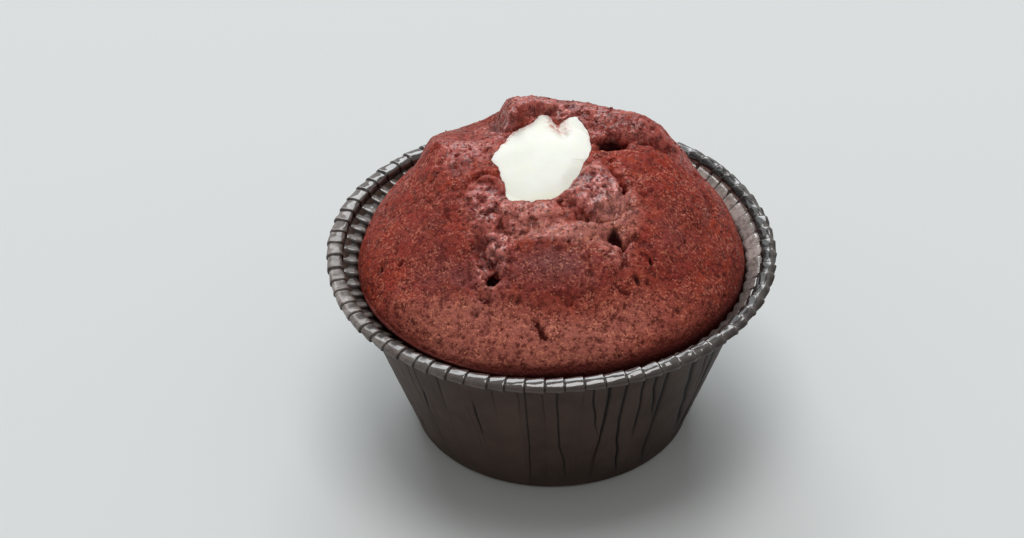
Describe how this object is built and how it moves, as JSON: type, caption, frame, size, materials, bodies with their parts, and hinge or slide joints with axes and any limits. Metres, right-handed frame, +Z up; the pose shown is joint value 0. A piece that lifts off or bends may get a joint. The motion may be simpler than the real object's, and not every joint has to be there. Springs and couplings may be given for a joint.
{
  "type": "filled muffin",
  "caption": "Domed red muffin with white cream showing in its crown, baked in its own pleated brown paper case with a rolled rim.",
  "frame": {"origin": "centre of the case's flat bottom, on the surface it stands on", "axes": "+Z up along the case's axis; the muffin's front, with the two cracks below the filling, faces -Y"},
  "size_m": [0.08, 0.08, 0.0568],
  "materials": {
    "paper": "satin coated paper, near black brown",
    "crumb": "fine grained red crust, moist where it is torn",
    "cream": "smooth soft white cream"
  },
  "bodies": {
    "root": {"baking_case": "paper", "muffin": "crumb", "filling": "cream"}
  },
  "joints": []
}
